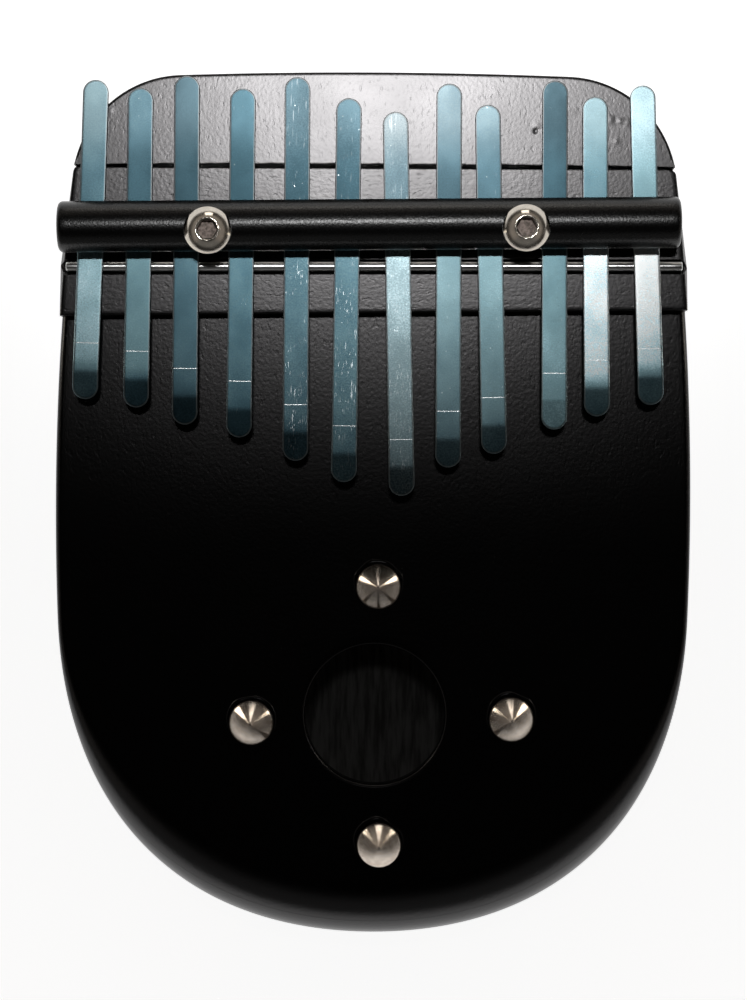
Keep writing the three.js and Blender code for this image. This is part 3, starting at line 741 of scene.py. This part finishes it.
def tine_grid(free, tail, bend_angle):
    """A closed tongue: a profile from the middle line over the worn and rolled edge and back underneath,
    carried round the tine's plan of two straight sides and two half circles. Gives the points as (across,
    ahead, height), a mark that is 1 on bare metal, and the distances ahead of the rod and of the bend."""
    half = tine_width / 2
    scribe = free - scribe_from_tip
    bend = free - tip_length
    straight = np.sort(np.concatenate([
        np.linspace(half - tail, free - half, tine_stations),
        scribe + 1.2 * scribe_half_width * np.linspace(-1, 1, scribe_stations),
        bend + np.linspace(*bend_span, bend_stations),
    ]))
    swing = np.linspace(0, np.pi, end_stations)[1:-1]
    front_end, rear_end = np.full(len(swing), free - half), np.full(len(swing), half - tail)
    middle = np.concatenate([straight, front_end, straight[::-1], rear_end])
    turn = np.concatenate([np.zeros(len(straight)), swing, np.full(len(straight), np.pi), np.pi + swing])
    rise, fall = quarter(rolled_rows)
    flat = half - rolled_edge - worn_edge
    worn = np.linspace(0, 1, worn_rows, endpoint=False)
    edge_drop = worn_edge * np.tan(worn_edge_tilt) / 2
    reach = np.concatenate([
        np.linspace(0, flat, flat_rows, endpoint=False), flat + worn_edge * worn,
        half - rolled_edge * (1 - rise[:, 0]), half - burr_edge * (1 - fall[:, 0]),
        np.linspace(half - burr_edge, 0, under_rows + 1)[1:],
    ])
    lift = np.concatenate([
        np.full(flat_rows, tine_thickness), tine_thickness - edge_drop * worn**2,
        tine_thickness - edge_drop - rolled_edge * (1 - fall[:, 0]), burr_edge * (1 - rise[:, 0]),
        np.zeros(under_rows),
    ])
    across = np.cos(turn)[:, None] * reach
    ahead = middle[:, None] + np.sin(turn)[:, None] * reach
    upper = np.arange(len(lift)) <= flat_rows + worn_rows
    groove = np.clip(1 - np.abs(ahead - scribe) / scribe_half_width, 0, 1) * upper
    height = tine_underside(ahead) - tip_drop(ahead - bend, bend_angle) + lift - scribe_depth * groove
    worn_bare = worn_edge_share * ease(reach, flat + 0.4 * worn_edge, flat + worn_edge)
    rolled_dull = (1 - rolled_edge_share) * ease(reach, half - rolled_edge, half - 0.4 * rolled_edge)
    bare = np.maximum(np.clip(groove * 1.5, 0, 1), worn_bare * (1 - rolled_dull))
    return np.stack([across, ahead, height], axis=2), bare, ahead, ahead - bend


def handling_marks_group():
    """Handling marks on a tine: fine short scratches and longer streaks along it, bright nicks, broad rubbed
    clouds and a fine grit, each by its own noise. Scratches and streaks gather in clouds too."""
    tree, takes, gives = new_group("Handling marks", ["Vector", "Scuff"], ["Scratch", "Nick", "Rub", "Grit"])
    vector, scuff = takes["Vector"], takes["Scuff"]

    def gathered(line, limit, width, gathers):
        """Lines where their noise is past a limit, within the clouds where they gather."""
        lines = between(calc("SUBTRACT", line, limit), 0.0, width)
        return calc("MULTIPLY", lines, gathers)

    fine = gathered(cloud(vector, 6000, 2.0, (1, 0.08, 1)), between(scuff, 0.0, 1.0, 0.74, 0.62),
                    0.06, between(cloud(vector, 260, 2.0), 0.45, 0.62))
    streak = gathered(cloud(vector, 2400, 1.0, (1, 0.07, 1)), between(scuff, 0.3, 1.0, 0.80, 0.62),
                      0.08, between(cloud(vector, 130, 2.0, (1, 0.4, 1)), 0.50, 0.62))
    nick = specks(vector, 1100.0, between(scuff, 0.0, 1.0, 0.006, 0.07), 0.14)
    rub = between(cloud(vector, 150, 4.0, (1, 0.7, 1)), 0.36, 0.66)
    feed(gives, Scratch=calc("MAXIMUM", fine, streak), Nick=nick, Rub=rub, Grit=cloud(vector, 2800, 2.0))
    return tree


handling_marks = handling_marks_group()


def film_colour(film):
    """Socket of the tempering film's colour, from bare steel (0) to deep blue (1)."""
    ramp = put(tree_of(film), "ValToRGB", Fac=film)
    stops = ramp.color_ramp.elements
    for _ in film_colours[2:]:
        stops.new(0.5)
    for stop, (position, colour) in zip(stops, film_colours):
        stop.position = position
        stop.color = colour
    return ramp.outputs["Color"]


def blued_steel(name, tail, bar_shade, front, drift, tip, scuff, wear):
    """Spring steel under its tempering film, whose depth runs from the tail over the part behind and under
    the bar, deepened there as painted shade near the bar, and the front to the tip. Scuff sets how marked it
    is, and wear how far it has greyed, the tail most."""
    material, tree, shader = start_material(name, Metallic=1.0)
    place = put(tree, "TexCoord").outputs["Object"]
    marks = place_group(tree, handling_marks, Vector=place, Scuff=scuff)
    ahead, past_bend = mark(tree, "ahead"), mark(tree, "past_bend")
    # The film deepens from the tail towards the bar: painted shade near the bar
    film = between(ahead, film_tail_ends, film_bar_shade_starts, tail, bar_shade)
    steps = [
        between(ahead, film_bar_shade_ends, film_front_starts, 0.0, front - bar_shade),
        between(ahead, -film_front_starts, film_front_ends, 0.0, drift),
        between(past_bend, film_tip_before, film_tip_after, 0.0, tip - front - drift),
    ]
    for step in steps:
        film = calc("ADD", film, step)
    noises = [
        (cloud(place, 70, 2.0, (1, 0.5, 1)), film_drift), (marks["Rub"], -film_rub),
        (marks["Grit"], -film_grit - film_scuff * scuff),
    ]
    for noise, depth in noises:
        off_middle = calc("SUBTRACT", noise, 0.5)
        film = calc("ADD", film, calc("MULTIPLY", off_middle, depth))
    shown = between(ahead, film_bar_shade_starts, 0.0, tail_scratches, front_scratches)
    worn = calc("MAXIMUM", mark(tree, "bare"), calc("MULTIPLY", marks["Scratch"], shown))
    worn = calc("MAXIMUM", worn, calc("MULTIPLY", marks["Nick"], nick_brightness))
    colour = film_colour(film)
    haze = between(ahead, haze_full, haze_ends, wear, front_greying * wear**2)
    colour = tint(haze, colour, put(tree, "RGBToBW", Color=colour).outputs["Val"])
    rough = between(marks["Grit"], 0.2, 0.8, steel_gloss, steel_dull)
    feed(shader, Base_Color=tint(worn, colour, bare_steel),
         Roughness=calc("SUBTRACT", rough, calc("MULTIPLY", worn, bare_polish)),
         Normal=bumped(marks["Grit"], steel_relief))
    return material


for joint, finish in zip(frame["joints"], blueing):
    name = joint["child"]
    pivot = np.array(joint["pos_m"])
    across_axis = np.array(joint["axis"])
    ahead_axis = np.array([across_axis[1], -across_axis[0], 0.0])
    solid = frame["nodes"][name].data
    corners = np.empty(len(solid.vertices) * 3)
    solid.vertices.foreach_get("co", corners)
    reach = (corners.reshape(-1, 3) - pivot) @ ahead_axis
    bend_angle = slack_bend_angle.get(name, tip_bend_angle)
    grid, bare, ahead, past_bend = tine_grid(reach.max(), -reach.min(), bend_angle)
    axes = np.stack([across_axis, ahead_axis, [0, 0, 1]])
    grid = np.array([pivot[0], pivot[1], bridge_top]) + grid @ axes
    marks = {"bare": bare.T, "ahead": ahead.T / mm, "past_bend": past_bend.T / mm}
    tongue = skin(f"tongue_{name[-2:]}", grid.transpose(1, 0, 2), **marks)
    fit(tongue, name, "tine_steel", blued_steel(f"blued_steel_{name[-2:]}", *finish), name)


# Pressure bar
# A round steel bar that the two screws pull down on the tines, with a flat milled for each screw head.
# Coated satin black, with the fine pebble of a powder coat, its end corners rounded.

bar_low, bar_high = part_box("pressure_bar")
bar_yaw = np.radians(0.69)
bar_radius = 5.75 * mm
bar_end_ease = 1.1 * mm
bar_sides, bar_stations, flat_stations = 120, 24, 9
bar_middle = np.array([(bar_low.x + bar_high.x) / 2, (bar_low.y + bar_high.y) / 2, bar_low.z + bar_radius])
bar_length = (bar_high.x - bar_low.x - 2 * bar_radius * np.sin(bar_yaw)) / np.cos(bar_yaw)
flat_radius = 5.35 * mm
flat_depth = 1.6 * mm
flat_z = bar_radius - flat_depth
flat_least = 0.3 * mm
coat_dark = (0.0014, 0.0014, 0.0015, 1)
coat_light = (0.0022, 0.0022, 0.0023, 1)
coat_reflection = 0.5
coat_gloss, coat_dull = 0.26, 0.31
coat_relief = 0.030 * mm
screw_boxes = {side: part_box(f"bar_screw_{side}") for side in ("left", "right")}


def plan_middle(low, high):
    """The middle of a box from above."""
    return (low.x + high.x) / 2, (low.y + high.y) / 2


def seen_from_bar(x, y):
    """A place on the body in the turned bar's own directions."""
    x, y = x - bar_middle[0], y - bar_middle[1]
    return x * np.cos(bar_yaw) + y * np.sin(bar_yaw), y * np.cos(bar_yaw) - x * np.sin(bar_yaw)


def bar_grid():
    """Rows of points round the bar, from end to end. A line along the bar steps down to a milled flat where
    it crosses the flat's circle, half a chord to each side of the screw, and up again behind it."""
    turn = full_turn(bar_sides)
    y, z = bar_radius * np.sin(turn), bar_radius * np.cos(turn)
    rise, fall = quarter(arris_rows)
    half = bar_length / 2
    ends = [(half, 0.0, 0.0)]
    for s, c in zip(rise[::-1, 0], fall[::-1, 0]):
        shrink = (bar_radius - bar_end_ease * (1 - c)) / bar_radius
        ends.append((half - bar_end_ease * (1 - s), y * shrink, z * shrink))
    rows = [(-end_x, end_y, end_z) for end_x, end_y, end_z in ends]
    steps = np.linspace(0, 1, bar_stations)[1:]
    last = bar_end_ease - half
    for box in screw_boxes.values():
        at_x, at_y = seen_from_bar(*plan_middle(*box))
        chord = np.sqrt(np.clip(flat_radius**2 - (y - at_y) ** 2, 0, None))
        cut = (z > flat_z) & (chord > flat_least)
        chord = np.where(cut, chord, flat_least)
        milled = np.where(cut, flat_z, z)
        rows += [(last + (at_x - chord - last) * step, y, z) for step in steps]
        rows += [(at_x + chord * step, y, milled) for step in np.linspace(-1, 1, flat_stations)]
        rows.append((at_x + chord, y, z))
        last = at_x + chord
    rows += [(last + (half - bar_end_ease - last) * step, y, z) for step in steps]
    rows += ends[-2::-1]
    x, y, z = [np.array([np.broadcast_to(values, turn.shape) for values in column]) for column in zip(*rows)]
    return yawed(bar_middle, bar_yaw, x, y, z)


def powder_coat():
    """Satin black coat: a fine pebble in the bump and the gloss, a few dust specks."""
    material, tree, shader = start_material("black_coat", Specular_IOR_Level=coat_reflection)
    place = put(tree, "TexCoord").outputs["Object"]
    pebble = cloud(place, 2400, 1.0)
    speck = place_group(tree, dust, Vector=place, Share=0.01, Size=0.04)["Speck"]
    colour = tint(mottle(place, 90), coat_dark, coat_light)
    feed(shader, Base_Color=tint(speck, colour, dust_grey),
         Roughness=between(pebble, 0.25, 0.75, coat_gloss, coat_dull),
         Normal=bumped(pebble, coat_relief))
    return material


round_bar = skin("round_bar", bar_grid())
fit(round_bar, "body", "bar_black", powder_coat(), "pressure_bar")


# Bar screws
# Two button-head machine screws with a hexagon socket, which clamp the bar through the block to the inserts.
# Stainless steel, cold headed and polished, with a chamfered socket mouth and a rolled thread.

head_radius = 5.25 * mm
head_height = 3.3 * mm
head_ease = 0.2 * mm
head_rim = 0.06 * mm
crown_mouth_tilt = np.radians(32)
crown_rim_tilt = np.radians(51)
socket_flats = 4 * mm
socket_depth = 2.1 * mm
socket_ease = 0.1 * mm
drill_point = 0.15 * mm
mouth_bead = 0.3 * mm
mouth_inner_tilt = np.radians(50)
chamfer_fall = 0.15
thread_pitch = 0.8 * mm
thread_depth = 0.4 * mm
thread_crest, thread_root = 0.15, 0.9
thread_rows_a_turn = 6
shank_radius = 2.5 * mm
shank_point = 0.8 * mm
shank_neck = 1.0 * mm
round_sides = 96
crown_rows, bead_rows = 20, 9
# Darker, browner colours inside the socket: painted shade in the recess; the socket's duller gloss is its
# own
socket_shade_dark = (0.18, 0.15, 0.13, 1)
socket_shade_light = (0.48, 0.40, 0.36, 1)
socket_dull = 0.62


def around(x, y, radius, height, turn):
    """Points round an upright axis, a row for each radius and height."""
    across = x + radius * np.cos(turn)
    return np.stack([across, y + radius * np.sin(turn), np.broadcast_to(height, across.shape)], axis=2)


def climbed(tilt, radius):
    """How far a line climbs as its radius shrinks step by step, by the mean tilt of each step."""
    return np.tan((tilt[1:] + tilt[:-1]) / 2) * -np.diff(radius)


def screw_grid(x, y, bottom, top):
    """A screw about its axis, from the point up: a rolled thread whose radius follows a helix, the head's
    seat and rim, a crown whose tilt grows evenly from the socket's mouth to the rim, the bead round the
    mouth and the hexagon of the socket down to its floor. The mark is 1 inside the socket."""
    turn = full_turn(round_sides)
    seat = top - head_height
    thread_z = np.arange(bottom + shank_point, seat - shank_neck, thread_pitch / thread_rows_a_turn)[:, None]
    phase = (thread_z / thread_pitch - turn / (2 * np.pi)) % 1
    flank = np.clip(np.abs(phase - 0.5) * 2, thread_crest, thread_root) - thread_crest
    thread_r = shank_radius - thread_depth * flank / (thread_root - thread_crest)
    corner = socket_flats / np.sqrt(3)
    mouth = corner + mouth_bead * (np.sin(crown_mouth_tilt) + np.sin(mouth_inner_tilt))
    bead_tilt = np.linspace(crown_mouth_tilt, -mouth_inner_tilt, bead_rows)[1:, None]
    bead_r = mouth + mouth_bead * (np.sin(bead_tilt) - np.sin(crown_mouth_tilt))
    bead_z = top - mouth_bead * (1 - np.cos(bead_tilt))
    hexagon = socket_flats / 2 / np.cos((turn % (np.pi / 3)) - np.pi / 6)
    crown_r = np.linspace(head_radius, mouth, crown_rows)
    climb = climbed(np.linspace(crown_rim_tilt, crown_mouth_tilt, crown_rows), crown_r)
    below_mouth = np.append(np.cumsum(climb[::-1])[::-1], 0.0)
    crown_z = top - mouth_bead * (1 - np.cos(crown_mouth_tilt)) - below_mouth
    floor_z = top - socket_depth
    radius, height = stacked([
        (0.0, bottom), (shank_radius - shank_point, bottom), (thread_r, thread_z),
        (shank_radius, seat - 0.9 * shank_neck), (shank_radius, seat), (head_radius - head_ease, seat),
        (head_radius, seat + head_ease), (head_radius, crown_z[0] - head_rim),
        (crown_r[:, None], crown_z[:, None]), (bead_r, bead_z),
        (hexagon, bead_z[-1] - chamfer_fall * (corner - hexagon)), (hexagon, floor_z + socket_ease),
        (hexagon - socket_ease, floor_z), (0.0, floor_z - drill_point),
    ], turn[None], axis=0)
    socket = np.arange(len(radius)) >= len(radius) - 3
    return around(x, y, radius, height, turn), socket[:, None]


def polished_stainless():
    """Bright steel whose tone drifts a little; inside the socket it is duller and a darker brown, the brown
    being painted shade in the recess.
    """
    material = metal("polished_stainless", (0.62, 0.57, 0.50), 0.13, scale=700.0)
    tree = material.node_tree
    shader = tree.nodes["Principled BSDF"].inputs
    bright = shader["Base Color"].links[0].from_socket
    gloss = shader["Roughness"].links[0].from_socket
    socket = mark(tree, "socket")
    place = put(tree, "TexCoord").outputs["Object"]
    # Painted shade in the socket: a darker, browner mottle
    socket_shade = tint(mottle(place, 1600), socket_shade_dark, socket_shade_light)
    settings = {"data_type": "FLOAT"}
    dull = put(tree, "Mix", settings, input0=socket, input2=gloss, input3=socket_dull).outputs[0]
    feed(shader, Base_Color=tint(socket, bright, socket_shade), Roughness=dull)
    return material


stainless = polished_stainless()
for side, (low, high) in screw_boxes.items():
    grid, socket = screw_grid(*plan_middle(low, high), low.z, high.z)
    button = skin(f"button_screw_{side}", grid, crease=28, socket=socket)
    fit(button, "body", "screw_steel", stainless, f"bar_screw_{side}")


# Cone studs
# Four pointed studs round the sound hole, each on a pin pressed into the soundboard.
# Turned and nickel plated, so fine rings run round the cone; a bead of lacquer has crept up round each.

stud_rim_radius = 1.3 * mm
stud_undercut = np.radians(20)
stud_rim_slope = np.radians(44.5)
stud_tip_slope = np.radians(40)
stud_tip_radius = 0.35 * mm
stud_tip_rises = np.array([0.09, 0.12]) * mm
stud_rim_rows, stud_cone_rows = 12, 18
pin_radius = 1.5 * mm
nickel_dark = (0.63, 0.54, 0.46, 1)
nickel_light = (0.77, 0.69, 0.61, 1)
nickel_gloss, nickel_dull = 0.15, 0.21
nickel_relief = 0.002 * mm
lacquer_sides, lacquer_rows = 120, 9
lacquer_gloss = 0.2
lacquer_least_width, lacquer_more_width = 0.12 * mm, 1.10 * mm
lacquer_least_height, lacquer_more_height = 0.03 * mm, 0.22 * mm
lacquer_under_stud, lacquer_sunk = 0.5 * mm, 0.05 * mm


def stud_grid(x, y, radius, bottom, base):
    """A stud about its axis: the pin, the flat underside, a rim that rounds over into the cone, and the
    cone, whose slope eases evenly from the rim to the blunt tip. The mark is the distance from the axis."""
    over = np.linspace(-stud_undercut, np.pi / 2 - stud_rim_slope, stud_rim_rows)
    rim_r = radius - stud_rim_radius * (1 - np.cos(over))
    rim_z = base + stud_rim_radius * (np.sin(over) + np.sin(stud_undercut))
    cone_r = np.linspace(rim_r[-1], stud_tip_radius, stud_cone_rows)
    slope = np.linspace(stud_rim_slope, stud_tip_slope, stud_cone_rows)
    cone_z = rim_z[-1] + np.cumsum(climbed(slope, cone_r))
    r = np.concatenate([[0, pin_radius, pin_radius], rim_r, cone_r[1:], [stud_tip_radius / 2, 0]])[:, None]
    z = np.concatenate([[bottom, bottom, base], rim_z, cone_z, cone_z[-1] + stud_tip_rises])[:, None]
    return around(x, y, r, z, full_turn(round_sides)), r / mm


def turned_nickel():
    """Nickel plate over lathe-turned rings: a noise along the radius alone drives the bump and the gloss."""
    material, tree, shader = start_material("turned_nickel", Metallic=1.0)
    place = put(tree, "TexCoord").outputs["Object"]
    settings = {"noise_dimensions": "1D"}
    ring = put(tree, "TexNoise", settings, W=mark(tree, "reach"), Scale=9.0, Detail=3.0).outputs["Fac"]
    feed(shader, Base_Color=tint(mottle(place, 500), nickel_dark, nickel_light),
         Roughness=between(ring, 0.2, 0.8, nickel_gloss, nickel_dull),
         Normal=bumped(ring, nickel_relief))
    return material


def lacquer_bead_grid(x, y, radius, base, seed):
    """A low bead round a stud's rim, fuller on the rear side, whose width and height wander round it by a
    sum of waves of random size and start."""
    draw = np.random.default_rng(seed)
    turn = full_turn(lacquer_sides)
    wander = np.zeros(lacquer_sides)
    for waves in range(2, 9):
        wander += draw.normal() * np.cos(waves * turn + draw.uniform(0, 2 * np.pi)) / waves
    full = np.clip(0.3 + 0.7 * np.sin(turn), 0, 1)
    width = lacquer_least_width + lacquer_more_width * full * np.clip(1 + 0.5 * wander, 0.3, 1.5)
    height = lacquer_least_height + lacquer_more_height * full * np.clip(1 + 0.6 * wander, 0.2, 1.8)
    swell = np.linspace(0, np.pi, lacquer_rows)[:, None]
    r = radius - lacquer_under_stud + (width + lacquer_under_stud) * (1 - np.cos(swell)) / 2
    z = base - lacquer_sunk + (height + lacquer_sunk) * np.sin(swell)
    return around(x, y, r, z, turn)


nickel = turned_nickel()
lacquer = black_paint("lacquer_bead", gloss=lacquer_gloss)
for number, place in enumerate(("rear", "left", "right", "front")):
    low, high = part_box(f"stud_{place}")
    x, y = plan_middle(low, high)
    radius = (high.x - low.x) / 2
    grid, reach = stud_grid(x, y, radius, low.z, board_top)
    stud = skin(f"cone_stud_{place}", grid, reach=reach)
    fit(stud, "body", "stud_nickel", nickel, f"stud_{place}")
    bead = skin(f"lacquer_bead_{place}", lacquer_bead_grid(x, y, radius, board_top, number), close_rows=True)
    bead.data.materials.append(lacquer)
    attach(bead, "body")


# Studio
# A sheet of white paper in a dim room, under one gridded lamp high behind the head. A few white cards stand
# behind and beside the body only to be mirrored in the polished studs and screws.

scene = bpy.context.scene
scene.view_settings.view_transform = "Standard"
white = (1, 1, 1, 1)
paper_radii = np.array([0.0, 0.2, 1.0, 6.0])[:, None]
paper_z = -0.05 * mm
paper_grey = (0.82, 0.82, 0.82, 1)
paper_glow = 0.9
room_side = (0.27, 0.25, 0.23, 1)
room_rear = (0.32, 0.29, 0.26, 1)
room_front = (0.165, 0.163, 0.16, 1)


def white_paper():
    """A round sheet under the object, lifted to white where the camera or a mirror sees it."""
    paper = skin("paper", around(0, 0, paper_radii, paper_z, full_turn(round_sides)))
    material, tree, shader = start_material(
        "white_paper", Base_Color=paper_grey, Roughness=0.9, Emission_Color=white)
    ray = put(tree, "LightPath").outputs
    seen = calc("MAXIMUM", ray["Is Camera Ray"], ray["Is Glossy Ray"])
    seen = calc("MAXIMUM", seen, ray["Is Transmission Ray"])
    feed(shader, Emission_Strength=calc("MULTIPLY", seen, paper_glow))
    paper.data.materials.append(material)


def dim_room():
    """A plain room, dim overhead and near the floor and lighter between, cream behind the body and duller in
    front of it."""
    world = bpy.data.worlds.new("dim_room")
    world.use_nodes = True
    tree = world.node_tree
    way = put(tree, "SeparateXYZ", Vector=put(tree, "TexCoord").outputs["Generated"]).outputs
    overhead = between(way["Z"], 0.38, 0.76, 1.0, 0.02)
    low = between(way["Z"], 0.12, 0.28, 0.2, 1.0)
    rear = between(way["Y"], 0.40, 0.90)
    front = between(way["Y"], -0.50, -0.80)
    colour = tint(front, tint(rear, room_side, room_rear), room_front)
    feed(tree.nodes["Background"].inputs, Color=colour, Strength=calc("MULTIPLY", overhead, low))
    scene.world = world


def key_lamp():
    """A soft lamp high behind the head, behind a grid: the light falls evenly to a faint spill at the half
    spread, by the tangent of the angle off its axis."""
    place, aim = Vector((0.001, 0.276, 1.2)), Vector((0.001, 0.124, 0.034))
    width, height = 0.135, 0.086
    radiance = 456.0
    half_spread = np.radians(4.5)
    spill = 0.007
    data = bpy.data.lights.new("key_lamp", "AREA")
    data.shape = "RECTANGLE"
    data.size, data.size_y = width, height
    data.energy = radiance * np.pi * width * height
    data.use_nodes = True
    tree = data.node_tree
    spot = put(tree, "NewGeometry").outputs
    settings = {"operation": "DOT_PRODUCT"}
    cosine = put(tree, "VectorMath", settings, input0=spot["Normal"], input1=spot["Incoming"])
    off_axis = calc("ARCCOSINE", calc("ABSOLUTE", cosine.outputs["Value"]))
    fallen = calc("DIVIDE", calc("TANGENT", off_axis), np.tan(half_spread))
    strength = calc("MAXIMUM", calc("SUBTRACT", 1.0, fallen), spill)
    feed(tree.nodes["Emission"].inputs, Strength=strength)
    lamp = bpy.data.objects.new("key_lamp", data)
    lamp.location = place
    lamp.rotation_euler = (aim - place).to_track_quat("-Z", "Y").to_euler()
    lamp.visible_camera = False
    scene.collection.objects.link(lamp)


def white_card(name, place, size, glow, colour=white, faces=(0, 0, board_top)):
    """A card that faces a point and is seen only in mirrors, from its front, as bright as its glow."""
    place = Vector(place)
    ahead = (Vector(faces) - place).normalized()
    across = ahead.cross(Vector((0, 0, 1))).normalized() * size[0] / 2
    up = across.cross(ahead).normalized() * size[1] / 2
    corners = [place - across - up, place + across - up, place + across + up, place - across + up]
    mesh = bpy.data.meshes.new(name)
    mesh.from_pydata(corners, [], [(3, 2, 1, 0)])
    material, tree, shader = start_material(
        name, Base_Color=(0, 0, 0, 1), Specular_IOR_Level=0.0, Emission_Color=colour)
    material.cycles.emission_sampling = "NONE"
    front = calc("SUBTRACT", 1.0, put(tree, "NewGeometry").outputs["Backfacing"])
    shown = calc("MULTIPLY", put(tree, "LightPath").outputs["Is Glossy Ray"], front)
    feed(shader, Emission_Strength=calc("MULTIPLY", shown, glow))
    mesh.materials.append(material)
    card = bpy.data.objects.new(name, mesh)
    card.visible_camera = False
    card.visible_diffuse = False
    card.visible_shadow = False
    scene.collection.objects.link(card)


def photo_camera():
    """Straight above the body, turned a little, so that the picture's height spans its field at the
    soundboard."""
    field = 229.2 * mm
    distance = 610 * mm
    data = bpy.data.cameras.new("photo_camera")
    data.sensor_width = 36
    data.lens = data.sensor_width * distance / field
    camera = bpy.data.objects.new("photo_camera", data)
    camera.location = (0.1 * mm, 1.8 * mm, board_top + distance)
    camera.rotation_euler = (0, 0, np.radians(0.27))
    scene.collection.objects.link(camera)
    scene.camera = camera


white_paper()
dim_room()
key_lamp()
white_card("rear_card", (0, 0.95, 0.185), (0.38, 0.15), 2.6, (1, 0.95, 0.88, 1))
white_card("high_card", (0.57, 0.20, 0.47), (0.05, 0.05), 8.0)
for side in (-1, 1):
    white_card(f"side_card_{side}", (side * 0.14, 0.045, 0.045), (0.055, 0.018), 6.0, (1, 0.92, 0.78, 1),
               (side * 0.10, -0.20, board_top))
photo_camera()
